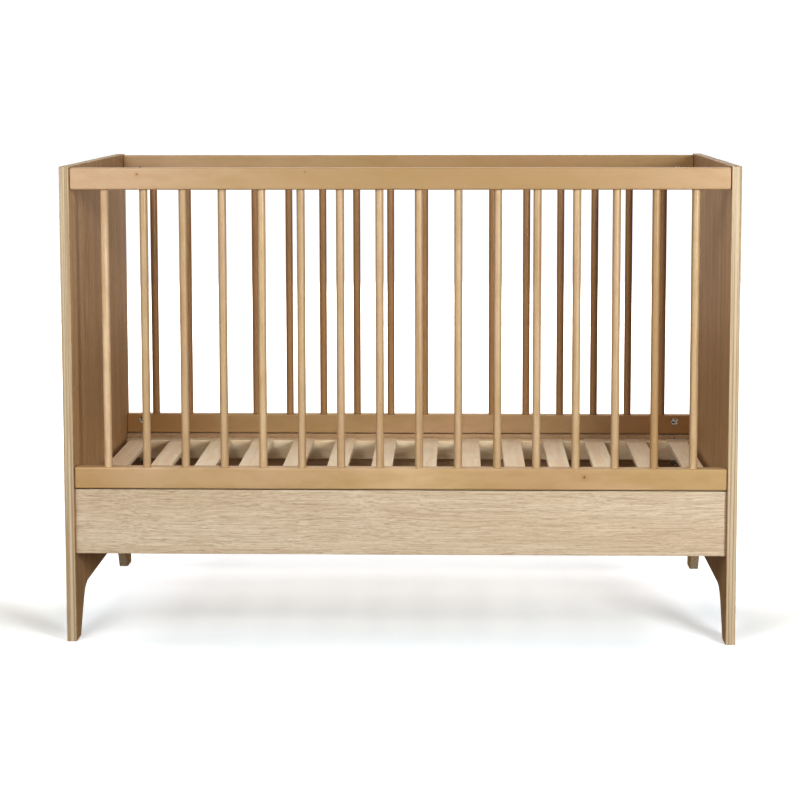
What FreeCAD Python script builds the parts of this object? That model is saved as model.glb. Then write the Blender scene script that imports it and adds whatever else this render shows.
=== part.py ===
import FreeCAD, Part
import Sketcher
import math
import os

# Baby crib: two solid end panels on integral legs, joined by barred long sides, with an apron
# board under each side and a slatted bed base that rests on steel pegs and lifts straight up.
# Millimetres. X runs along the crib, Y from front to rear, Z up.
# The origin is on the floor, under the middle of the crib.

doc = FreeCAD.newDocument("BabyCrib")

# ---------------------------------------------------------------- driving dimensions

SIZES = {
    # overall
    "inside_length": 1204.0,
    "board": 18.0,
    "crib_depth": 660.0,
    "panel_height": 884.0,
    "edge_round": 0.8,
    # legs cut out of the end panels
    "leg_foot": 46.0,
    "leg_slope": 59.0,
    "arch_height": 87.0,
    "arch_round": 60.0,
    # rails of the barred sides
    "rail_height": 40.0,
    "rail_thick": 25.0,
    "rail_setback": 4.0,
    "rail_round": 3.0,
    "top_rail_base": 841.5,
    "bottom_rail_base": 288.5,
    # bars
    "spindle_count": 16.0,
    "spindle_diameter": 15.0,
    "spindle_pitch": 72.0,
    "spindle_socket": 12.0,
    # aprons
    "apron_height": 121.0,
    "apron_base": 165.5,
    "apron_setback": 8.0,
    # bed base
    "base_length": 1200.0,
    "base_width": 600.0,
    "base_bottom": 237.0,
    "base_rail_height": 40.0,
    "base_rail_thick": 25.0,
    "base_rail_round": 1.5,
    "slat_count": 14.0,
    "slat_pitch": 88.0,
    "slat_width": 42.0,
    "slat_thick": 10.0,
    "slat_round": 1.5,
    "slat_end_gap": 1.0,
    "notch_depth": 9.0,
    # cam locks and their bolts
    "cam_radius": 7.5,
    "cam_height": 12.5,
    "cam_recess": 0.2,
    "cam_reach": 34.0,
    "cam_bolt_inset": 9.0,
    "bolt_bore_radius": 4.0,
    "driver_slot_length": 9.0,
    "driver_slot_width": 1.8,
    "driver_slot_depth": 1.6,
    "thread_radius": 2.5,
    "thread_length": 11.0,
    "shank_radius": 3.5,
    "shank_length": 26.0,
    "neck_radius": 1.75,
    "neck_length": 5.0,
    "head_radius": 3.2,
    "head_length": 5.0,
    # alignment dowels
    "dowel_radius": 4.0,
    "dowel_in_panel": 10.0,
    "dowel_in_rail": 20.0,
    # pegs that carry the bed base
    "peg_radius": 4.0,
    "peg_in_panel": 10.0,
    "peg_reach": 18.0,
    "collar_radius": 7.0,
    "collar_width": 2.0,
    # gaps between pieces that fit together
    "fit_gap": 0.1,
    "rest_gap": 0.3,
    # heights of the fastenings above the underside of the piece they hold
    "top_cam_up": 9.5,
    "top_dowel_up": 27.5,
    "bottom_cam_up": 27.0,
    "bottom_dowel_up": 11.0,
    "apron_cam_high": 107.5,
    "apron_cam_low": 62.5,
    "apron_dowel_high": 83.5,
    "apron_dowel_low": 23.5,
}

sheet = doc.addObject("Spreadsheet::Sheet", "Sizes")
for row, (alias, value) in enumerate(SIZES.items(), start=1):
    sheet.set("A%d" % row, alias)
    sheet.set("B%d" % row, str(value))
    sheet.setAlias("B%d" % row, alias)
doc.recompute()

LEFT, RIGHT = -1, 1
FRONT, REAR = -1, 1
ENDS = (("left", LEFT), ("right", RIGHT))
SIDES = (("front", FRONT), ("rear", REAR))
ALONG_X = FreeCAD.Rotation(FreeCAD.Vector(0, 1, 0), 90)
ALONG_Y = FreeCAD.Rotation(FreeCAD.Vector(1, 0, 0), -90)
ALONG_Z = FreeCAD.Rotation()

# places that several pieces share, as expressions on the sheet
HALF_INSIDE = "Sizes.inside_length / 2"
RAIL_INNER = "(Sizes.crib_depth / 2 - Sizes.rail_setback - Sizes.rail_thick)"
APRON_INNER = "(Sizes.crib_depth / 2 - Sizes.apron_setback - Sizes.board)"
RAIL_MIDDLE = "(%s + Sizes.rail_thick / 2)" % RAIL_INNER
APRON_MIDDLE = "(%s + Sizes.board / 2)" % APRON_INNER
BASE_RAIL_MIDDLE = "(Sizes.base_width / 2 - Sizes.base_rail_thick / 2)"
PEG_HEIGHT = "(Sizes.base_bottom - Sizes.rest_gap - Sizes.peg_radius)"

# every fastening: piece, height, distance of its axis from the crib's middle plane,
# and the inner face that the cam lock is let into
CAMS = (
    ("top_rail", "(Sizes.top_rail_base + Sizes.top_cam_up)", RAIL_INNER),
    ("bottom_rail", "(Sizes.bottom_rail_base + Sizes.bottom_cam_up)", RAIL_INNER),
    ("apron", "(Sizes.apron_base + Sizes.apron_cam_high)", APRON_INNER),
    ("apron", "(Sizes.apron_base + Sizes.apron_cam_low)", APRON_INNER),
)
DOWELS = (
    ("top_rail", "(Sizes.top_rail_base + Sizes.top_dowel_up)", RAIL_MIDDLE),
    ("bottom_rail", "(Sizes.bottom_rail_base + Sizes.bottom_dowel_up)", RAIL_MIDDLE),
    ("apron", "(Sizes.apron_base + Sizes.apron_dowel_high)", APRON_MIDDLE),
    ("apron", "(Sizes.apron_base + Sizes.apron_dowel_low)", APRON_MIDDLE),
)

nodes = []


def size(alias):
    """A driving dimension, read from the sheet."""
    return float(sheet.get(alias))


def bind(item, **expressions):
    """Binds properties to the sheet. x, y and z place the object."""
    for name, text in expressions.items():
        target = "Placement.Base." + name if name in "xyz" else name
        item.setExpression(target, text)
    return item


def keep(item, label):
    """Marks an object as a finished sub-part, under its own name."""
    item.Label = label
    nodes.append(item)
    return item


def rod(name, turn, radius, length, x, y, z):
    """A cylinder that starts at a point and runs along one axis."""
    item = doc.addObject("Part::Cylinder", name)
    item.Placement.Rotation = turn
    return bind(item, Radius=radius, Height=length, x=x, y=y, z=z)


def rod_from_end(name, end, radius, start, length, y, z):
    """A cylinder along X that starts a distance inside an end panel's inner face.
    A negative start lies inside the panel. It always runs towards the crib's middle."""
    if end == LEFT:
        x = "-%s + %s" % (HALF_INSIDE, start)
    else:
        x = "%s - (%s) - (%s)" % (HALF_INSIDE, start, length)
    return rod(name, ALONG_X, radius, length, x, y, z)


def block(name, length, width, height, x, y, z):
    """A box from its low corner."""
    item = doc.addObject("Part::Box", name)
    return bind(item, Length=length, Width=width, Height=height, x=x, y=y, z=z)


def fuse(name, items):
    item = doc.addObject("Part::MultiFuse", name)
    item.Shapes = items
    return item


def cut(name, base, tools):
    item = doc.addObject("Part::Cut", name)
    item.Base = base
    item.Tool = fuse(name + "Tools", tools)
    return item


def group(name, items):
    item = doc.addObject("Part::Compound", name)
    item.Links = items
    return item


def rounded_bar(name, length, width, height, rounding, x, y, z):
    """A bar of wood from its low corner, with every arris rounded."""
    body = doc.addObject("PartDesign::Body", name)
    bar = body.newObject("PartDesign::AdditiveBox", name + "Bar")
    bind(bar, Length=length, Width=width, Height=height)
    doc.recompute()
    fillet = body.newObject("PartDesign::Fillet", name + "Arrises")
    fillet.Base = (bar, ["Edge1"])
    fillet.UseAllEdges = True
    bind(fillet, Radius=rounding)
    body.Tip = fillet
    return bind(body, x=x, y=y, z=z)


def outward(side, distance):
    """The same distance from the middle plane, on the front or the rear."""
    return "%d * %s" % (side, distance)


def low_y(side, inner, thickness):
    """Low Y of a board that stands outside an inner face, on the front or the rear."""
    return inner if side == REAR else "-%s - %s" % (inner, thickness)


# ---------------------------------------------------------------- fastening bores


def panel_bores(end, name):
    """Everything that is drilled into an end panel's inner face."""
    tools = []
    for index, (piece, height, face) in enumerate(CAMS):
        for side_name, side in SIDES:
            y = outward(side, "(%s + Sizes.cam_bolt_inset)" % face)
            tools.append(
                rod_from_end(
                    "%sThread%d%s" % (name, index, side_name), end,
                    "Sizes.thread_radius + Sizes.fit_gap",
                    "(-Sizes.thread_length)", "Sizes.thread_length", y, height,
                )
            )
    for index, (piece, height, middle) in enumerate(DOWELS):
        for side_name, side in SIDES:
            tools.append(
                rod_from_end(
                    "%sDowel%d%s" % (name, index, side_name), end,
                    "Sizes.dowel_radius + Sizes.fit_gap",
                    "(-Sizes.dowel_in_panel)", "Sizes.dowel_in_panel", outward(side, middle), height,
                )
            )
    for side_name, side in SIDES:
        tools.append(
            rod_from_end(
                "%sPeg%s" % (name, side_name), end,
                "Sizes.peg_radius + Sizes.fit_gap",
                "(-Sizes.peg_in_panel)", "Sizes.peg_in_panel", outward(side, BASE_RAIL_MIDDLE), PEG_HEIGHT,
            )
        )
    return tools


def cross_bore(name, side, radius, face, depth, x, z):
    """A pocket from an inner face outwards, along Y."""
    y = face if side == REAR else "-%s - (%s)" % (face, depth)
    return rod(name, ALONG_Y, radius, depth, x, y, z)


def cam_x(end):
    return "%d * (%s - Sizes.cam_reach)" % (end, HALF_INSIDE)


def end_bores(piece_kind, side, name):
    """Bores in both ends of a rail or apron for its cam locks, cam bolts and dowels."""
    tools = []
    for end_name, end in ENDS:
        for index, (piece, height, face) in enumerate(CAMS):
            if piece != piece_kind:
                continue
            tools.append(
                cross_bore(
                    "%sPocket%d%s" % (name, index, end_name), side,
                    "Sizes.cam_radius + Sizes.fit_gap", face,
                    "Sizes.cam_height + Sizes.cam_recess", cam_x(end), height,
                )
            )
            tools.append(
                rod_from_end(
                    "%sBolt%d%s" % (name, index, end_name), end, "Sizes.bolt_bore_radius",
                    "0", "Sizes.cam_reach", outward(side, "(%s + Sizes.cam_bolt_inset)" % face), height,
                )
            )
        for index, (piece, height, middle) in enumerate(DOWELS):
            if piece != piece_kind:
                continue
            tools.append(
                rod_from_end(
                    "%sDowel%d%s" % (name, index, end_name), end,
                    "Sizes.dowel_radius + Sizes.fit_gap",
                    "0", "Sizes.dowel_in_rail", outward(side, middle), height,
                )
            )
    return tools


# ---------------------------------------------------------------- end panels


def panel_outline(body, name):
    """The end panel's outline in the YZ plane: flat top, two legs that taper towards the floor,
    and a low arch between them whose corners are round. Both halves mirror each other."""
    plane = [item for item in body.Origin.OriginFeatures if item.Role == "YZ_Plane"][0]
    sketch = body.newObject("Sketcher::SketchObject", name + "Outline")
    sketch.AttachmentSupport = (plane, [""])
    sketch.MapMode = "FlatFace"
    half = size("crib_depth") / 2
    top = size("panel_height")
    foot = half - size("leg_foot")
    arch = size("arch_height")
    radius = size("arch_round")
    slope = math.radians(size("leg_slope"))
    # where the leg's slope would meet the arch, and the tangent points beside that corner
    corner = foot - arch / math.tan(slope)
    tangent = radius * math.tan(slope / 2)
    low = (corner + tangent * math.cos(slope), arch - tangent * math.sin(slope))
    inner = corner - tangent
    centre = (inner, arch - radius)

    def vector(y, z):
        return FreeCAD.Vector(y, z, 0)

    def line(start, finish):
        return sketch.addGeometry(Part.LineSegment(vector(*start), vector(*finish)), False)

    def arc(sign):
        circle = Part.Circle(vector(sign * centre[0], centre[1]), FreeCAD.Vector(0, 0, 1), radius)
        start, finish = math.pi / 2 - slope, math.pi / 2
        if sign < 0:
            start, finish = math.pi / 2, math.pi / 2 + slope
        return sketch.addGeometry(Part.ArcOfCircle(circle, start, finish), False)

    top_edge = line((-half, top), (half, top))
    rear_edge = line((half, top), (half, 0))
    rear_foot = line((half, 0), (foot, 0))
    rear_slope = line((foot, 0), low)
    rear_arc = arc(1)
    arch_edge = line((inner, arch), (-inner, arch))
    front_arc = arc(-1)
    front_slope = line((-low[0], low[1]), (-foot, 0))
    front_foot = line((-foot, 0), (-half, 0))
    front_edge = line((-half, 0), (-half, top))

    def constrain(*parts):
        return sketch.addConstraint(Sketcher.Constraint(*parts))

    def drive(expression, name_of, *parts):
        index = constrain(*parts)
        sketch.renameConstraint(index, name_of)
        sketch.setExpression("Constraints." + name_of, expression)

    start, finish = 1, 2
    origin_point, vertical_axis = (-1, 1), -2
    for first, second in (
        (top_edge, rear_edge), (rear_edge, rear_foot), (rear_foot, rear_slope),
        (front_slope, front_foot), (front_foot, front_edge), (front_edge, top_edge),
    ):
        constrain("Coincident", first, finish, second, start)
    # an arc runs counter-clockwise, from its start to its end
    constrain("Tangent", rear_slope, finish, rear_arc, start)
    constrain("Tangent", rear_arc, finish, arch_edge, start)
    constrain("Tangent", arch_edge, finish, front_arc, start)
    constrain("Tangent", front_arc, finish, front_slope, start)
    for edge in (arch_edge, rear_foot, front_foot):
        constrain("Horizontal", edge)
    for edge in (rear_edge, front_edge):
        constrain("Vertical", edge)
    constrain("Symmetric", top_edge, start, top_edge, finish, vertical_axis)
    constrain("Equal", rear_foot, front_foot)
    constrain("Equal", rear_arc, front_arc)
    constrain("DistanceY", *origin_point, front_foot, finish, 0.0)
    constrain("DistanceY", *origin_point, rear_foot, start, 0.0)
    drive("Sizes.crib_depth", "depth", "DistanceX", top_edge, start, top_edge, finish, 2 * half)
    drive("Sizes.panel_height", "height", "DistanceY", *origin_point, top_edge, start, top)
    drive("Sizes.leg_foot", "foot", "DistanceX", front_foot, finish, front_foot, start, half - foot)
    drive("Sizes.arch_height", "arch", "DistanceY", *origin_point, arch_edge, start, arch)
    drive("Sizes.arch_round", "round", "Radius", rear_arc, radius)
    drive("180 deg - Sizes.leg_slope * 1 deg", "rear_lean", "Angle", rear_slope, math.pi - slope)
    drive("Sizes.leg_slope * 1 deg - 180 deg", "front_lean", "Angle", front_slope, slope - math.pi)
    return sketch


def end_panel(end_name, end):
    """A solid board with the legs in one piece with it, drilled for its fastenings."""
    name = end_name.capitalize() + "Panel"
    body = doc.addObject("PartDesign::Body", name + "Board")
    sketch = panel_outline(body, name)
    doc.recompute()
    pad = body.newObject("PartDesign::Pad", name + "Pad")
    pad.Profile = sketch
    bind(pad, Length="Sizes.board")
    doc.recompute()
    fillet = body.newObject("PartDesign::Fillet", name + "Arrises")
    fillet.Base = (pad, ["Edge1"])
    fillet.UseAllEdges = True
    bind(fillet, Radius="Sizes.edge_round")
    body.Tip = fillet
    low_x = HALF_INSIDE if end == RIGHT else "-%s - Sizes.board" % HALF_INSIDE
    bind(body, x=low_x)
    keep(cut(name, body, panel_bores(end, name)), end_name + "_end_panel")


# ---------------------------------------------------------------- barred sides


def spindle_x(number):
    return "(%d - (Sizes.spindle_count - 1) / 2) * Sizes.spindle_pitch" % number


def rail(side_name, side, level):
    """A top or bottom rail, with a socket for every spindle and fastening bores in its ends."""
    name = side_name.capitalize() + level.capitalize() + "Rail"
    base = "Sizes.%s_rail_base" % level
    body = rounded_bar(
        name + "Bar", "Sizes.inside_length", "Sizes.rail_thick", "Sizes.rail_height",
        "Sizes.rail_round", "-" + HALF_INSIDE, low_y(side, RAIL_INNER, "Sizes.rail_thick"), base,
    )
    socket_z = base if level == "top" else base + " + Sizes.rail_height - Sizes.spindle_socket"
    tools = end_bores(level + "_rail", side, name)
    for number in range(int(size("spindle_count"))):
        tools.append(
            rod(
                "%sSocket%d" % (name, number + 1), ALONG_Z,
                "Sizes.spindle_diameter / 2 + Sizes.fit_gap", "Sizes.spindle_socket",
                spindle_x(number), outward(side, RAIL_MIDDLE), socket_z,
            )
        )
    keep(cut(name, body, tools), "%s_%s_rail" % (side_name, level))


def spindles(side_name, side):
    """The bars of one side, let into both rails."""
    foot = "Sizes.bottom_rail_base + Sizes.rail_height - Sizes.spindle_socket"
    length = "Sizes.top_rail_base - Sizes.bottom_rail_base - Sizes.rail_height + 2 * Sizes.spindle_socket"
    for number in range(int(size("spindle_count"))):
        spindle = rod(
            "%sSpindle%d" % (side_name.capitalize(), number + 1), ALONG_Z,
            "Sizes.spindle_diameter / 2", length,
            spindle_x(number), outward(side, RAIL_MIDDLE), foot,
        )
        keep(spindle, "%s_spindle_%02d" % (side_name, number + 1))


def apron(side_name, side):
    """The board under a barred side."""
    name = side_name.capitalize() + "Apron"
    body = rounded_bar(
        name + "Board", "Sizes.inside_length", "Sizes.board", "Sizes.apron_height",
        "Sizes.edge_round", "-" + HALF_INSIDE, low_y(side, APRON_INNER, "Sizes.board"), "Sizes.apron_base",
    )
    keep(cut(name, body, end_bores("apron", side, name)), side_name + "_apron")


# ---------------------------------------------------------------- bed base


def slat_x(number):
    return "(%d - (Sizes.slat_count - 1) / 2) * Sizes.slat_pitch" % number


def base_rail(side_name, side):
    """A side rail of the bed base, notched from above for the slats."""
    name = side_name.capitalize() + "BaseRail"
    low = "Sizes.base_width / 2 - Sizes.base_rail_thick" if side == REAR else "-Sizes.base_width / 2"
    body = rounded_bar(
        name + "Bar", "Sizes.base_length", "Sizes.base_rail_thick", "Sizes.base_rail_height",
        "Sizes.base_rail_round", "-Sizes.base_length / 2", low, "Sizes.base_bottom",
    )
    notches = []
    for number in range(int(size("slat_count"))):
        notches.append(
            block(
                "%sNotch%d" % (name, number + 1),
                "Sizes.slat_width + 2 * Sizes.fit_gap", "Sizes.base_rail_thick", "Sizes.notch_depth",
                slat_x(number) + " - Sizes.slat_width / 2 - Sizes.fit_gap", low,
                "Sizes.base_bottom + Sizes.base_rail_height - Sizes.notch_depth",
            )
        )
    keep(cut(name, body, notches), side_name + "_base_rail")


def slats():
    """The slats, across the bed from one base rail to the other."""
    reach = "(Sizes.base_width / 2 - Sizes.slat_end_gap)"
    for number in range(int(size("slat_count"))):
        slat = rounded_bar(
            "Slat%d" % (number + 1), "Sizes.slat_width", "2 * " + reach, "Sizes.slat_thick",
            "Sizes.slat_round", slat_x(number) + " - Sizes.slat_width / 2", "-" + reach,
            "Sizes.base_bottom + Sizes.base_rail_height - Sizes.notch_depth",
        )
        keep(slat, "slat_%02d" % (number + 1))


# ---------------------------------------------------------------- fastenings


def each_place(table):
    """Every fastening in a table, at both ends of both sides."""
    for index, (piece, height, distance) in enumerate(table):
        for side_name, side in SIDES:
            for end_name, end in ENDS:
                yield "%d%s%s" % (index, side_name, end_name), end, side, height, distance


def cam_lock(tag, end, side, height, face):
    """A round cam with a cross slot for the driver and a hollow that takes the bolt's head."""
    seat = "(%s + Sizes.cam_recess)" % face
    barrel = cross_bore(
        "Cam" + tag, side, "Sizes.cam_radius", seat, "Sizes.cam_height", cam_x(end), height
    )
    hollow = rod_from_end(
        "CamHollow" + tag, end, "Sizes.bolt_bore_radius",
        "0", "Sizes.cam_reach + Sizes.bolt_bore_radius",
        outward(side, "(%s + Sizes.cam_bolt_inset)" % face), height,
    )
    slot_y = seat if side == REAR else "-%s - Sizes.driver_slot_depth" % seat
    across, thin = "Sizes.driver_slot_length", "Sizes.driver_slot_width"
    slots = []
    for turn, wide, tall in (("Flat", across, thin), ("Upright", thin, across)):
        slots.append(
            block(
                "Cam%s%s" % (turn, tag), wide, "Sizes.driver_slot_depth", tall,
                "%s - %s / 2" % (cam_x(end), wide), slot_y, "%s - %s / 2" % (height, tall),
            )
        )
    return cut("CamLock" + tag, barrel, [hollow] + slots)


def cam_bolt(tag, end, side, height, face):
    """A bolt screwed into the end panel, with a plain shank, a neck and a head in the cam."""
    y = outward(side, "(%s + Sizes.cam_bolt_inset)" % face)
    runs = (
        ("Thread", "Sizes.thread_radius", "(-Sizes.thread_length)", "Sizes.thread_length"),
        ("Shank", "Sizes.shank_radius", "0", "Sizes.shank_length"),
        ("Neck", "Sizes.neck_radius", "Sizes.shank_length", "Sizes.neck_length"),
        ("Head", "Sizes.head_radius", "(Sizes.shank_length + Sizes.neck_length)", "Sizes.head_length"),
    )
    pieces = []
    for part_name, radius, start, length in runs:
        pieces.append(
            rod_from_end("Bolt%s%s" % (part_name, tag), end, radius, start, length, y, height)
        )
    return fuse("CamBolt" + tag, pieces)


def dowel(tag, end, side, height, middle):
    """A wooden dowel, half in the end panel and half in the rail or apron."""
    return rod_from_end(
        "Dowel" + tag, end, "Sizes.dowel_radius",
        "(-Sizes.dowel_in_panel)", "Sizes.dowel_in_panel + Sizes.dowel_in_rail",
        outward(side, middle), height,
    )


def support_peg(tag, end, side):
    """A steel peg with a collar, under one end of a base rail."""
    y = outward(side, BASE_RAIL_MIDDLE)
    shank = rod_from_end(
        "PegShank" + tag, end, "Sizes.peg_radius",
        "(-Sizes.peg_in_panel)", "Sizes.peg_in_panel + Sizes.peg_reach", y, PEG_HEIGHT,
    )
    collar = rod_from_end(
        "PegCollar" + tag, end, "Sizes.collar_radius", "0", "Sizes.collar_width", y, PEG_HEIGHT
    )
    return fuse("Peg" + tag, [shank, collar])


# ---------------------------------------------------------------- assembly

for end_name, end in ENDS:
    end_panel(end_name, end)
for side_name, side in SIDES:
    rail(side_name, side, "top")
    rail(side_name, side, "bottom")
    spindles(side_name, side)
    apron(side_name, side)
    base_rail(side_name, side)
slats()
keep(group("CamLocks", [cam_lock(*place) for place in each_place(CAMS)]), "cam_locks")
keep(group("CamBolts", [cam_bolt(*place) for place in each_place(CAMS)]), "cam_bolts")
keep(group("Dowels", [dowel(*place) for place in each_place(DOWELS)]), "alignment_dowels")
pegs = []
for side_name, side in SIDES:
    for end_name, end in ENDS:
        pegs.append(support_peg(side_name + end_name, end, side))
keep(group("Pegs", pegs), "base_support_pegs")
doc.recompute()

# ---------------------------------------------------------------- checks and export

for item in doc.Objects:
    if "Invalid" in item.State or "Error" in item.State:
        raise RuntimeError("%s did not compute: %s" % (item.Name, item.State))
for item in nodes:
    if item.Shape.isNull() or not item.Shape.isValid() or not item.Shape.Solids:
        raise RuntimeError(item.Label + " has no valid solid")

os.makedirs("parts", exist_ok=True)
for item in nodes:
    item.Shape.exportStep("parts/%s.step" % item.Label)
print("%d sub-parts written" % len(nodes))
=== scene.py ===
"""Looks for the baby crib: materials for wood, board and metal, and the floor, lights and camera
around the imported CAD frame."""

import math

import bpy
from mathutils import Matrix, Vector

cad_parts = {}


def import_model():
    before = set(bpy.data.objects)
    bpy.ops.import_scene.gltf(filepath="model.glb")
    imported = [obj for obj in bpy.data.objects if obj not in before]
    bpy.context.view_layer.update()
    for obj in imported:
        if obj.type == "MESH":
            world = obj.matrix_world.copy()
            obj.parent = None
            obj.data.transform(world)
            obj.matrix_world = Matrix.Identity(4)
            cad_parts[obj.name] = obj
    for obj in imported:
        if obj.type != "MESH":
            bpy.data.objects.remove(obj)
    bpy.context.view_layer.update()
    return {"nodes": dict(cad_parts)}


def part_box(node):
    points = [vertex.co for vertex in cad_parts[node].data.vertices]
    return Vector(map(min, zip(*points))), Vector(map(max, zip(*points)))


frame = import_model()
nodes = frame["nodes"]

MM = 0.001

# Places on the crib that the materials use, in metres.
SPINDLE_PITCH = 0.072
SLAT_PITCH = 0.088
SPINDLE_Y = 0.3135
FRONT_RAIL_Y = -0.326
REAR_RAIL_Y = 0.30
EDGE_BAND = 1.3 * MM

# The view, and a gamma that brings out the contrast of pale wood.
LENS = 95.499
LENS_SHIFT = -0.12
CAMERA_PLACE = (0.11062, -4.17839, 1.04344)
CAMERA_TURN = (math.pi / 2 - 0.1061, 0.001623, 0.02812)
VIEW_GAMMA = 0.75


# ---------------------------------------------------------------- node helpers
class Tree:
    """A material's node tree, with short calls for the nodes that the materials share."""

    def __init__(self, name):
        self.material = bpy.data.materials.new(name)
        self.material.use_nodes = True
        self.tree = self.material.node_tree
        self.tree.nodes.clear()
        self.out = self.tree.nodes.new("ShaderNodeOutputMaterial")
        self.shader = self.tree.nodes.new("ShaderNodeBsdfPrincipled")
        self.link(self.shader.outputs["BSDF"], self.out.inputs["Surface"])
        self.coordinates = self.tree.nodes.new("ShaderNodeTexCoord")

    def link(self, a, b):
        self.tree.links.new(a, b)

    def put(self, socket, value):
        """Links a socket, or sets a plain value."""
        if isinstance(value, bpy.types.NodeSocket):
            self.link(value, socket)
        elif value is not None:
            socket.default_value = value

    def math(self, operation, a, b=None, c=None):
        node = self.tree.nodes.new("ShaderNodeMath")
        node.operation = operation
        for socket, value in zip(node.inputs, (a, b, c)):
            self.put(socket, value)
        return node.outputs[0]

    def add(self, a, b):
        return self.math("ADD", a, b)

    def times(self, a, b):
        return self.math("MULTIPLY", a, b)

    def vector(self, operation, a, b=None):
        node = self.tree.nodes.new("ShaderNodeVectorMath")
        node.operation = operation
        for socket, value in zip(node.inputs, (a, b)):
            self.put(socket, value)
        return node.outputs["Value" if operation in ("LENGTH", "DISTANCE") else "Vector"]

    def place(self):
        return self.coordinates.outputs["Object"]

    def split(self, vector):
        node = self.tree.nodes.new("ShaderNodeSeparateXYZ")
        self.put(node.inputs[0], vector)
        return node.outputs[0], node.outputs[1], node.outputs[2]

    def join(self, x, y, z):
        node = self.tree.nodes.new("ShaderNodeCombineXYZ")
        for socket, value in zip(node.inputs, (x, y, z)):
            self.put(socket, value)
        return node.outputs[0]

    def noise(self, vector, scale=1.0, detail=2.0, roughness=0.5):
        node = self.tree.nodes.new("ShaderNodeTexNoise")
        self.put(node.inputs["Vector"], vector)
        for name, value in (("Scale", scale), ("Detail", detail), ("Roughness", roughness)):
            node.inputs[name].default_value = value
        return node.outputs["Fac"]

    def chance(self, vector):
        """A random number from 0 to 1 that is the same wherever the vector is the same."""
        node = self.tree.nodes.new("ShaderNodeTexWhiteNoise")
        node.noise_dimensions = "3D"
        self.put(node.inputs["Vector"], vector)
        return node.outputs["Value"]

    def span(self, value, low, high, to_low=0.0, to_high=1.0, smooth=True):
        """Maps low..high to to_low..to_high, and stays there outside."""
        node = self.tree.nodes.new("ShaderNodeMapRange")
        node.interpolation_type = "SMOOTHSTEP" if smooth else "LINEAR"
        for socket, number in zip(node.inputs, (value, low, high, to_low, to_high)):
            self.put(socket, number)
        return node.outputs[0]

    def mix(self, amount, a, b):
        node = self.tree.nodes.new("ShaderNodeMix")
        node.data_type = "RGBA"
        node.clamp_factor = True
        self.put(node.inputs[0], amount)
        self.put(node.inputs[6], a if isinstance(a, bpy.types.NodeSocket) else (*a, 1.0))
        self.put(node.inputs[7], b if isinstance(b, bpy.types.NodeSocket) else (*b, 1.0))
        return node.outputs[2]

    def bump(self, height, strength, distance):
        node = self.tree.nodes.new("ShaderNodeBump")
        node.inputs["Strength"].default_value = strength
        node.inputs["Distance"].default_value = distance
        self.put(node.inputs["Height"], height)
        self.link(node.outputs["Normal"], self.shader.inputs["Normal"])

    def set(self, **values):
        """Numbers that are the same all over the surface, set on the shader's own sockets."""
        for name, value in values.items():
            self.shader.inputs[name.replace("_", " ")].default_value = value


def shade(red, green, blue):
    """A linear colour from its screen values, 0 to 255."""
    screen = (red / 255, green / 255, blue / 255)
    return tuple(((c + 0.055) / 1.055) ** 2.4 if c > 0.04 else c / 12.92 for c in screen)


def toned(colours, tone):
    """Each colour with its red, green and blue parts scaled by the three factors of a tone."""
    return [tuple(part * factor for part, factor in zip(colour, tone)) for colour in colours]


def along(tree, axis):
    """The place on the surface as (length, width, height) of a board whose grain runs along an axis."""
    x, y, z = tree.split(tree.place())
    return {"x": (x, y, z), "y": (y, x, z), "z": (z, x, y)}[axis]


def stretched(tree, parts, length, width, shift=None):
    """A place stretched along the grain: length and width are how many features fit in a metre."""
    u, v, w = parts
    u = tree.times(u, length)
    if shift is not None:
        u = tree.add(u, shift)
    return tree.join(u, tree.times(v, width), tree.times(w, width))


def swayed(tree, parts, length, width, amount, shift=None):
    """The same place with its grain pushed sideways in slow waves."""
    u, v, w = parts
    wave = tree.noise(stretched(tree, parts, length, width, shift), 1.0, 2.0)
    push = tree.times(tree.math("SUBTRACT", wave, 0.5), amount)
    return u, tree.add(v, push), tree.add(w, push)


def spotted(tree, colour, marks):
    """Small dark marks, each with a soft ring of paler or darker wood around it."""
    for place, size, halo_colour, dark_colour in marks:
        near = tree.vector("DISTANCE", tree.place(), place)
        colour = tree.mix(tree.span(near, size, size * 4.0, 0.40, 0.0), colour, halo_colour)
        colour = tree.mix(tree.span(near, size * 0.4, size, 0.9, 0.0), colour, dark_colour)
    return colour


def from_edge(tree, value, low, high):
    """How far a coordinate is inside the two faces at low and high."""
    return tree.math("MINIMUM", tree.math("SUBTRACT", value, low), tree.math("SUBTRACT", high, value))


def middle(tree, a, b, c):
    """The middle one of three distances: on a face of a box, how far the nearest edge is."""
    low = tree.math("MINIMUM", a, b)
    high = tree.math("MAXIMUM", a, b)
    return tree.math("MAXIMUM", low, tree.math("MINIMUM", high, c))


def board_edge(tree, node):
    """For a board and its mirror image: the distance to the nearest edge of the face, and a mask
    that is 1 on the narrow edges and 0 on the two broad faces."""
    low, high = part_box(node)
    x, y, z = tree.split(tree.place())
    x, y = tree.math("ABSOLUTE", x), tree.math("ABSOLUTE", y)
    up = from_edge(tree, z, low[2], high[2])
    if high[0] - low[0] > high[1] - low[1]:
        thick = from_edge(tree, y, *sorted((abs(low[1]), abs(high[1]))))
        rim = tree.math("MAXIMUM", thick, up)
    else:
        thick = from_edge(tree, x, *sorted((abs(low[0]), abs(high[0]))))
        rim = middle(tree, thick, tree.math("SUBTRACT", high[1], y), tree.math("SUBTRACT", high[2], z))
    return rim, tree.span(thick, 0.4 * MM, 1.2 * MM)


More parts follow.
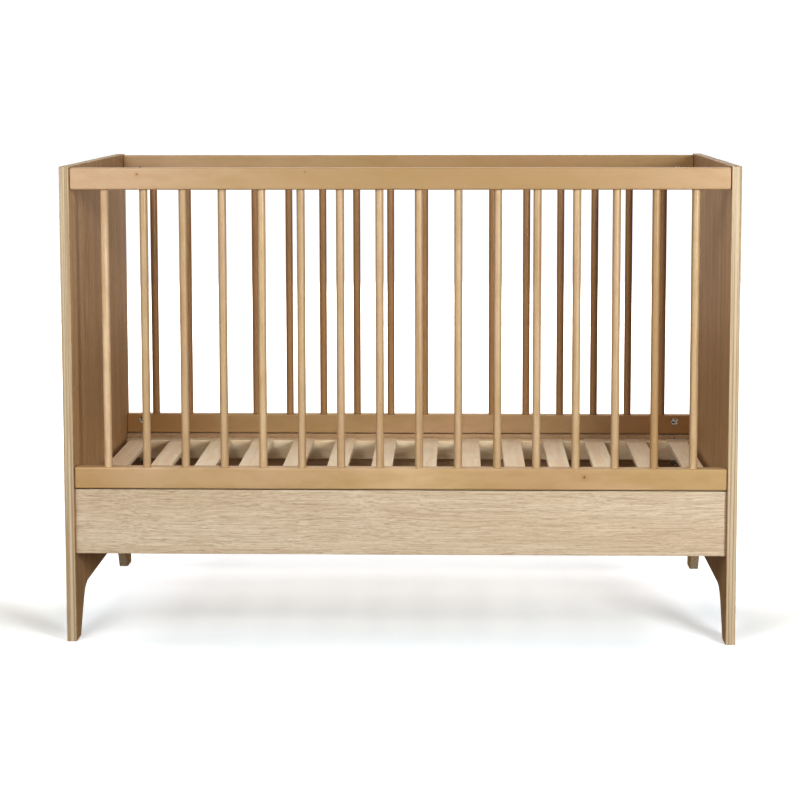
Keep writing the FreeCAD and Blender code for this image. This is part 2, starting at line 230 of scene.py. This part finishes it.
# ---------------------------------------------------------------- materials
def oak_melamine(name, axis, run, slow, tone, node, marks=()):
    """Light oak decor on board: thin grain lines in slow waves, with short pores pressed in. run is
    how many grain lines follow each other in a metre, slow is how strongly the colour drifts from
    place to place, and tone is a colour factor for the whole board. node is a board that has the
    material. The edge band around the board is paler and greyer, meets the face in a fine line,
    and has a paler line at the arris that is a painted highlight."""
    pale, mid, dark, light, deep, yellow = toned(
        (OAK_PALE, OAK_MID, OAK_LINE, OAK_LIGHT, OAK_PORE, OAK_WARM), tone)
    t = Tree(name)
    parts = swayed(t, along(t, axis), 3.0, 8.0, 0.034)
    broad = t.noise(stretched(t, parts, 1.2, 30.0), 1.0, 3.0, 0.6)
    band = t.noise(stretched(t, parts, run * 0.3, 210.0), 1.0, 2.0, 0.5)
    line = t.noise(stretched(t, parts, run, 520.0), 1.0, 3.0, 0.6)
    hills = t.noise(stretched(t, parts, run * 0.5, 230.0), 1.0, 2.0)
    thread = t.span(t.math("ABSOLUTE", t.math("SUBTRACT", hills, 0.5)), 0.05, 0.0)
    fleck = t.noise(stretched(t, parts, run * 1.5, 900.0), 1.0, 2.0, 0.5)
    pore = t.span(t.noise(stretched(t, parts, run + 46.0, 900.0), 1.0, 1.0), 0.58, 0.70)
    fine = t.noise(stretched(t, parts, 120.0, 1400.0), 1.0, 2.0)
    warm = t.noise(stretched(t, parts, 2.6, 9.0), 1.0, 2.0)
    colour = t.mix(t.times(t.span(broad, 0.38, 0.62), slow), pale, mid)
    colour = t.mix(t.times(t.span(warm, 0.42, 0.70), 0.30 * slow), colour, yellow)
    colour = t.mix(t.times(t.span(band, 0.48, 0.70), 0.18), colour, dark)
    colour = t.mix(t.times(t.span(line, 0.42, 0.64), 0.40), colour, dark)
    colour = t.mix(t.times(thread, 0.36), colour, dark)
    colour = t.mix(t.times(t.span(fleck, 0.50, 0.34), 0.34), colour, light)
    colour = t.mix(t.times(pore, 0.36), colour, deep)
    colour = t.mix(t.times(t.span(fine, 0.45, 0.70), 0.15), colour, deep)
    rim, banding = board_edge(t, node)
    stripe = t.noise(stretched(t, along(t, axis), 1.6, 420.0), 1.0, 2.0, 0.6)
    edge_colour = t.mix(t.span(stripe, 0.44, 0.60), EDGE_PALE, EDGE_DARK)
    colour = t.mix(t.times(banding, 0.65), colour, edge_colour)
    seam = t.times(t.span(rim, EDGE_BAND - 0.3 * MM, EDGE_BAND), t.span(rim, EDGE_BAND + 0.3 * MM, EDGE_BAND))
    colour = t.mix(t.times(seam, 0.35), colour, deep)
    # A paler line along the arris: painted highlight.
    colour = t.mix(t.span(rim, 0.2 * MM, 0.9 * MM, 0.35, 0.0), colour, light)
    colour = spotted(t, colour, marks)
    t.link(colour, t.shader.inputs["Base Color"])
    rough = t.add(t.span(band, 0.3, 0.7, 0.38, 0.50), t.times(pore, 0.14))
    t.link(rough, t.shader.inputs["Roughness"])
    relief = t.add(t.times(line, 0.5), t.times(fine, 0.3))
    relief = t.math("SUBTRACT", t.math("SUBTRACT", relief, t.times(pore, 0.6)), t.times(seam, 0.8))
    t.bump(relief, 0.18, 0.0004)
    t.set(Specular_IOR_Level=0.42)
    return t.material


def lacquered_beech(name, axis, grain, marks=(), patches=(), across=(1, 1, 1)):
    """Beech under a satin lacquer: soft lines along the grain, short flecks, and a slow change between
    pinkish and yellowish wood. grain is how strongly the lines show. patches are soft changes of
    colour at known places, each with its middle, its reach, its colour and how much of it. across
    has a 0 for a direction in which a patch runs all the way. Each bar has a shade of its own."""
    t = Tree(name)
    x, y, z = t.split(t.place())
    # One random number for each bar, or for each rail by its height.
    if axis == "z":
        piece = t.join(t.math("FLOOR", t.times(x, 1 / SPINDLE_PITCH)), t.math("SIGN", y), 0.0)
    else:
        piece = t.join(t.math("FLOOR", t.times(z, 5.0)), t.math("SIGN", y), 0.0)
    lot = t.chance(piece)
    shift = t.times(lot, 40.0)
    parts = swayed(t, along(t, axis), 1.6, 5.0, 0.02, shift)
    slow = t.noise(stretched(t, parts, 2.6, 12.0, shift), 1.0, 2.0)
    mottle = t.noise(stretched(t, parts, 20.0, 50.0, shift), 1.0, 2.0)
    line = t.noise(stretched(t, parts, 3.0, 130.0, shift), 1.0, 3.0, 0.6)
    fine = t.noise(stretched(t, parts, 14.0, 900.0, shift), 1.0, 2.0)
    fleck = t.span(t.noise(stretched(t, parts, 210.0, 1400.0, shift), 1.0, 1.0), 0.62, 0.74)
    colour = t.mix(t.span(slow, 0.36, 0.64), BEECH_PINK, BEECH_YELLOW)
    for place, reach, patch_colour, amount in patches:
        near = t.vector("DISTANCE", t.vector("MULTIPLY", t.place(), across), place)
        colour = t.mix(t.span(near, 0.0, reach, amount, 0.0), colour, patch_colour)
    colour = t.mix(t.times(t.span(mottle, 0.42, 0.66), 0.22), colour, BEECH_DEEP)
    colour = t.mix(t.times(t.span(line, 0.45, 0.72), 0.45 * grain), colour, BEECH_LINE)
    colour = t.mix(t.times(t.span(fine, 0.45, 0.75), 0.22 * grain), colour, BEECH_LINE)
    colour = t.mix(t.times(fleck, 0.35 * grain), colour, BEECH_FLECK)
    colour = t.mix(t.span(lot, 0.0, 1.0, 0.0, 0.24, smooth=False), colour, BEECH_DEEP)
    colour = spotted(t, colour, marks)
    t.link(colour, t.shader.inputs["Base Color"])
    t.link(t.span(line, 0.3, 0.7, 0.34, 0.44), t.shader.inputs["Roughness"])
    t.bump(t.add(line, t.times(fine, 0.4)), 0.10, 0.0004)
    t.set(Specular_IOR_Level=0.45, Coat_Weight=0.18, Coat_Roughness=0.28)
    return t.material


def pale_pine(name, axis, tone=(1, 1, 1)):
    """Bare pale wood for the slats and their side rails, each piece a little different, with soft
    swirls and small smoother spots whose paler colour is a painted highlight."""
    pale, mid, dark, light, deep, painted_glint = toned(
        (PINE_PALE, PINE_MID, PINE_LINE, PINE_LIGHT, PINE_DEEP, PINE_GLINT), tone)
    t = Tree(name)
    x, y, z = t.split(t.place())
    # One random number for each slat, or for each of the two side rails.
    if axis == "y":
        piece = t.join(t.math("FLOOR", t.times(x, 1 / SLAT_PITCH)), 0.0, 0.0)
    else:
        piece = t.join(t.math("SIGN", y), 3.0, 1.0)
    lot = t.chance(piece)
    shift = t.times(lot, 30.0)
    parts = swayed(t, along(t, axis), 5.0, 12.0, 0.03, shift)
    ring = t.noise(stretched(t, parts, 1.8, 95.0, shift), 1.0, 2.0, 0.5)
    fine = t.noise(stretched(t, parts, 9.0, 700.0, shift), 1.0, 3.0, 0.6)
    swirl = t.noise(stretched(t, parts, 9.0, 26.0, shift), 1.0, 3.0, 0.6)
    glint = t.span(t.noise(stretched(t, parts, 38.0, 60.0, shift), 1.0, 2.0), 0.62, 0.74)
    colour = t.mix(t.span(ring, 0.36, 0.66), pale, mid)
    colour = t.mix(t.times(t.span(fine, 0.45, 0.75), 0.14), colour, dark)
    colour = t.mix(t.times(t.span(swirl, 0.48, 0.66), 0.60), colour, light)
    colour = t.mix(t.span(lot, 0.0, 1.0, 0.0, 0.28, smooth=False), colour, deep)
    # Paler colour on the smoother spots: painted highlight.
    colour = t.mix(t.times(glint, 0.55), colour, painted_glint)
    t.link(colour, t.shader.inputs["Base Color"])
    rough = t.math("SUBTRACT", t.span(swirl, 0.4, 0.7, 0.46, 0.34), t.times(glint, 0.10))
    t.link(rough, t.shader.inputs["Roughness"])
    t.bump(t.add(ring, t.times(fine, 0.6)), 0.16, 0.0005)
    t.set(Specular_IOR_Level=0.50)
    return t.material


def zinc_plate(name):
    """Bright zinc on die-cast locks and steel pins, with an uneven cast texture and blotches of painted
    highlight and shade.
    """
    t = Tree(name)
    grain = t.noise(t.place(), 900.0, 3.0, 0.6)
    cloud = t.noise(t.place(), 330.0, 2.0)
    # Blotches of near white and dark grey: painted highlight and painted shade.
    colour = t.mix(t.span(cloud, 0.40, 0.60), shade(250, 250, 248), shade(96, 94, 92))
    t.link(colour, t.shader.inputs["Base Color"])
    t.link(t.span(grain, 0.3, 0.7, 0.24, 0.42), t.shader.inputs["Roughness"])
    t.bump(t.add(t.times(grain, 0.4), cloud), 0.35, 0.0008)
    t.set(Metallic=0.5, Specular_IOR_Level=0.8)
    return t.material


OAK_PALE = shade(220, 202, 180)
OAK_MID = shade(205, 182, 156)
OAK_LINE = shade(174, 145, 116)
OAK_LIGHT = shade(225, 211, 191)
OAK_PORE = shade(140, 110, 85)
OAK_WARM = shade(200, 180, 151)
APRON_TONE = (0.96, 0.99, 1.01)
# A darker, warmer oak for the end panels: painted shade, standing for the shade on their inner faces.
PANEL_SHADE_TONE = (0.80, 0.675, 0.505)
# A darker, warmer oak for the rear apron: painted shade, standing for the shade on its inner face above the
# base.
REAR_SHADE_TONE = (0.90, 0.82, 0.71)
EDGE_PALE = shade(211, 201, 181)
EDGE_DARK = shade(169, 153, 129)
BEECH_PINK = shade(198, 170, 139)
BEECH_YELLOW = shade(188, 161, 120)
BEECH_LINE = shade(170, 134, 96)
BEECH_FLECK = shade(138, 101, 66)
BEECH_DEEP = shade(175, 142, 101)
PINE_PALE = shade(253, 243, 222)
PINE_MID = shade(247, 229, 203)
PINE_LINE = shade(212, 180, 144)
PINE_LIGHT = shade(254, 246, 230)
PINE_DEEP = shade(244, 225, 199)
PINE_GLINT = shade(254, 251, 244)
RAIL_TONE = (1.0, 0.97, 0.92)
KNOT_AND_HOLE_SHADE = shade(84, 56, 34)
KNOT_RING = shade(176, 132, 88)


# ---------------------------------------------------------------- materials on the CAD pieces
# Marks: the middle, the radius, the colour of the ring and the colour of the middle.
PANEL_MARKS = [
    # The first mark stands for a small hole in the left panel: its dark middle is painted shade in the hole.
    ((-0.602, -0.305, 0.472), 1.6 * MM, shade(246, 234, 216), KNOT_AND_HOLE_SHADE),
    ((-0.602, 0.150, 0.877), 1.4 * MM, KNOT_RING, KNOT_AND_HOLE_SHADE),
]
RAIL_MARKS = {
    "front_top_rail": [
        ((-0.478, FRONT_RAIL_Y, 0.870), 1.6 * MM, KNOT_RING, KNOT_AND_HOLE_SHADE),
        ((-0.171, FRONT_RAIL_Y, 0.874), 1.1 * MM, KNOT_RING, KNOT_AND_HOLE_SHADE),
    ],
    "front_bottom_rail": [((0.340, FRONT_RAIL_Y, 0.313), 2.4 * MM, KNOT_RING, KNOT_AND_HOLE_SHADE)],
}

# Patches: the middle, the reach, the colour and how much of it there is in the middle.
RAIL_PATCHES = {
    "front_top_rail": [
        ((0.15, FRONT_RAIL_Y, 0.86), 1.10, shade(172, 144, 106), 0.70),
        ((-0.60, FRONT_RAIL_Y, 0.86), 0.24, shade(200, 172, 146), 0.45),
        ((0.60, FRONT_RAIL_Y, 0.86), 0.22, shade(196, 166, 138), 0.40),
    ],
    "front_bottom_rail": [
        ((-0.59, FRONT_RAIL_Y, 0.31), 0.14, shade(178, 144, 94), 0.55),
        ((0.02, FRONT_RAIL_Y, 0.31), 0.15, shade(212, 186, 152), 0.65),
        ((0.26, FRONT_RAIL_Y, 0.31), 0.18, shade(178, 148, 104), 0.45),
    ],
    # On the rear rails the patches are painted shade: the rear top rail is darker around its right half, and
    # the rear bottom rail is darker towards both end panels.
    "rear_top_rail": [((0.32, REAR_RAIL_Y, 0.86), 0.55, shade(170, 136, 92), 0.45)],
    "rear_bottom_rail": [
        ((-0.60, REAR_RAIL_Y, 0.31), 0.30, shade(176, 130, 78), 0.70),
        ((0.60, REAR_RAIL_Y, 0.31), 0.30, shade(166, 118, 66), 0.80),
    ],
}
# The first patch covers every front bar and lightens them all, painted light; the others cover one bar each.
SPINDLE_PATCHES = [
    ((0.0, -SPINDLE_Y, 0.0), 9.0, shade(208, 186, 157), 0.50),
    ((-0.540, -SPINDLE_Y, 0.0), 0.030, shade(236, 212, 184), 0.90),
    ((-0.252, -SPINDLE_Y, 0.0), 0.030, shade(214, 190, 156), 0.60),
    ((0.468, -SPINDLE_Y, 0.0), 0.030, shade(166, 130, 84), 0.60),
]
# The rear bars' patch is painted shade: it makes every rear bar darker and redder.
REAR_SPINDLE_SHADE = [((0.0, SPINDLE_Y, 0.0), 1.0, shade(172, 128, 86), 0.60)]

# The end panels and the rear apron get darker, warmer oak as painted shade; the front apron does not.
oak_upright = oak_melamine("oak_melamine_upright", "z", 4.0, 1.0, PANEL_SHADE_TONE, "left_end_panel", PANEL_MARKS)
oak_level = oak_melamine("oak_melamine_level", "x", 4.0, 0.55, APRON_TONE, "front_apron")
oak_rear = oak_melamine("oak_melamine_rear", "x", 4.0, 0.55, REAR_SHADE_TONE, "rear_apron")
beech_front = lacquered_beech("lacquered_beech_upright", "z", 1.1, (), SPINDLE_PATCHES, (1, 1, 0))
beech_rear = lacquered_beech("lacquered_beech_rear_upright", "z", 1.3, (), REAR_SPINDLE_SHADE, (0, 1, 0))
pine_slat = pale_pine("pale_pine_slat", "y")
pine_rail = pale_pine("pale_pine_rail", "x", RAIL_TONE)
dowel_wood = lacquered_beech("dowel_beech", "x", 1.0)
zinc = zinc_plate("zinc_plated_steel")


def material_of(node):
    """The material of a piece. Each long rail has beech of its own, and what is left is metal."""
    if node.endswith("end_panel"):
        return oak_upright
    if node == "front_apron":
        return oak_level
    if node == "rear_apron":
        return oak_rear
    if "spindle" in node:
        return beech_front if node.startswith("front") else beech_rear
    if node.endswith("base_rail"):
        return pine_rail
    if node in RAIL_PATCHES:
        marks = RAIL_MARKS.get(node, ())
        return lacquered_beech("lacquered_beech_" + node, "x", 0.16, marks, RAIL_PATCHES[node])
    if node.startswith("slat"):
        return pine_slat
    if node == "alignment_dowels":
        return dowel_wood
    return zinc


for node in nodes:
    slots = nodes[node].data.materials
    slots.clear()
    slots.append(material_of(node))


# ---------------------------------------------------------------- stage
def floor():
    """A pale floor that bounces little light. The camera sees it as a white sweep with soft shadows:
    its glow is weak under the crib, stronger behind it and beside its feet, and full far away."""
    mesh = bpy.data.meshes.new("floor")
    half = 30.0
    corners = [(-half, -half, 0), (half, -half, 0), (half, half, 0), (-half, half, 0)]
    mesh.from_pydata(corners, [], [(0, 1, 2, 3)])
    piece = bpy.data.objects.new("floor", mesh)
    bpy.context.scene.collection.objects.link(piece)
    t = Tree("floor")
    seen = t.tree.nodes.new("ShaderNodeLightPath").outputs["Is Camera Ray"]
    cloud = t.noise(t.place(), 0.8, 2.0)
    bounced = t.mix(cloud, (0.23, 0.185, 0.14), (0.25, 0.20, 0.15))
    t.link(t.mix(seen, bounced, (0.92, 0.96, 0.99)), t.shader.inputs["Base Color"])
    x, y, z = t.split(t.place())
    # The crib's front is at y = -0.33, its rear at 0.33 and its ends at x = -0.62 and 0.62.
    # The glow paints shade and light on the floor: weak under the crib, it deepens the real shadow there;
    # stronger behind the crib and beside the feet, it lightens the shadows the lights cast there.
    behind = t.span(y, -0.17, 0.14, 0.12, 0.48)
    before = t.span(y, -0.18, -0.32, 0.0, 0.12)
    feet = t.times(t.span(t.math("ABSOLUTE", x), 0.40, 0.53, 0.0, 0.11), t.span(x, -0.66, -0.60))
    near = t.add(t.add(behind, before), feet)
    far = t.span(t.vector("LENGTH", t.place()), 0.8, 2.6, 0.12, 1.10)
    t.link(t.times(t.math("MAXIMUM", near, far), seen), t.shader.inputs["Emission Strength"])
    t.set(Roughness=0.9, Specular_IOR_Level=0.0, Emission_Color=(0.97, 1.0, 1.05, 1))
    mesh.materials.append(t.material)


def world():
    """White behind the crib and in its reflections, with little light of its own."""
    w = bpy.data.worlds.new("studio")
    w.use_nodes = True
    tree = w.node_tree
    tree.nodes.clear()

    def glow(colour, strength):
        node = tree.nodes.new("ShaderNodeBackground")
        node.inputs[0].default_value = (*colour, 1)
        node.inputs[1].default_value = strength
        return node.outputs[0]

    def either(chooser, no, yes):
        node = tree.nodes.new("ShaderNodeMixShader")
        tree.links.new(chooser, node.inputs[0])
        tree.links.new(no, node.inputs[1])
        tree.links.new(yes, node.inputs[2])
        return node.outputs[0]

    path = tree.nodes.new("ShaderNodeLightPath")
    lit = either(path.outputs["Is Glossy Ray"], glow((1.0, 0.9, 0.8), 0.005), glow((1.0, 1.0, 1.0), 0.05))
    seen = either(path.outputs["Is Camera Ray"], lit, glow((1.0, 1.0, 1.0), 1.1))
    out = tree.nodes.new("ShaderNodeOutputWorld")
    tree.links.new(seen, out.inputs[0])
    bpy.context.scene.world = w


def softbox(name, place, aim, width, height, power, colour=(1, 1, 1), glossy=True):
    """A rectangular light in metres and watts, which the camera doesn't see."""
    light = bpy.data.lights.new(name, "AREA")
    light.shape = "RECTANGLE"
    light.size = width
    light.size_y = height
    light.energy = power
    light.color = colour
    lamp = bpy.data.objects.new(name, light)
    lamp.location = place
    lamp.rotation_euler = (Vector(aim) - Vector(place)).to_track_quat("-Z", "Y").to_euler()
    lamp.visible_camera = False
    lamp.visible_glossy = glossy
    bpy.context.scene.collection.objects.link(lamp)


def camera():
    """A long lens about a metre up, a little right of the middle and turned down by 6 degrees."""
    lens = bpy.data.cameras.new("camera")
    lens.sensor_width = 36.0
    lens.lens = LENS
    lens.shift_y = LENS_SHIFT
    lens.clip_end = 200.0
    eye = bpy.data.objects.new("camera", lens)
    eye.location = CAMERA_PLACE
    eye.rotation_euler = CAMERA_TURN
    bpy.context.scene.collection.objects.link(eye)
    bpy.context.scene.camera = eye


floor()
world()
aim = (0, 0, 0.5)
softbox("front_right", (1.9, -2.9, 1.2), aim, 1.0, 1.0, 90, (0.96, 1.0, 1.01))
softbox("front_left", (-1.9, -2.9, 1.2), aim, 3.6, 2.2, 64, (0.95, 1.0, 1.02))
softbox("high_left", (-1.45, -3.1, 2.6), aim, 0.9, 0.9, 34, (1.03, 1.0, 0.96))
softbox("overhead", (0.0, -0.2, 3.2), (0, 0, 0), 2.4, 1.6, 16, (1.08, 1.0, 0.93))
softbox("high_back", (0.0, 2.2, 2.6), aim, 2.4, 1.2, 26, (1.03, 1.0, 0.96))
softbox("backdrop", (0.0, 4.5, 1.3), aim, 6.0, 3.0, 55, (1.16, 1.0, 0.85))
softbox("side_right", (4.4, 0.3, 0.5), aim, 1.4, 0.8, 90, (0.97, 1.0, 1.02))
softbox("side_left", (-4.4, 0.3, 0.5), aim, 1.4, 0.8, 90, (0.97, 1.0, 1.02))
softbox("rear", (0.0, 6.5, 1.6), aim, 1.6, 1.2, 100, (1.0, 0.85, 0.66), glossy=False)
camera()
bpy.context.scene.view_settings.view_transform = "Standard"
bpy.context.scene.view_settings.gamma = VIEW_GAMMA
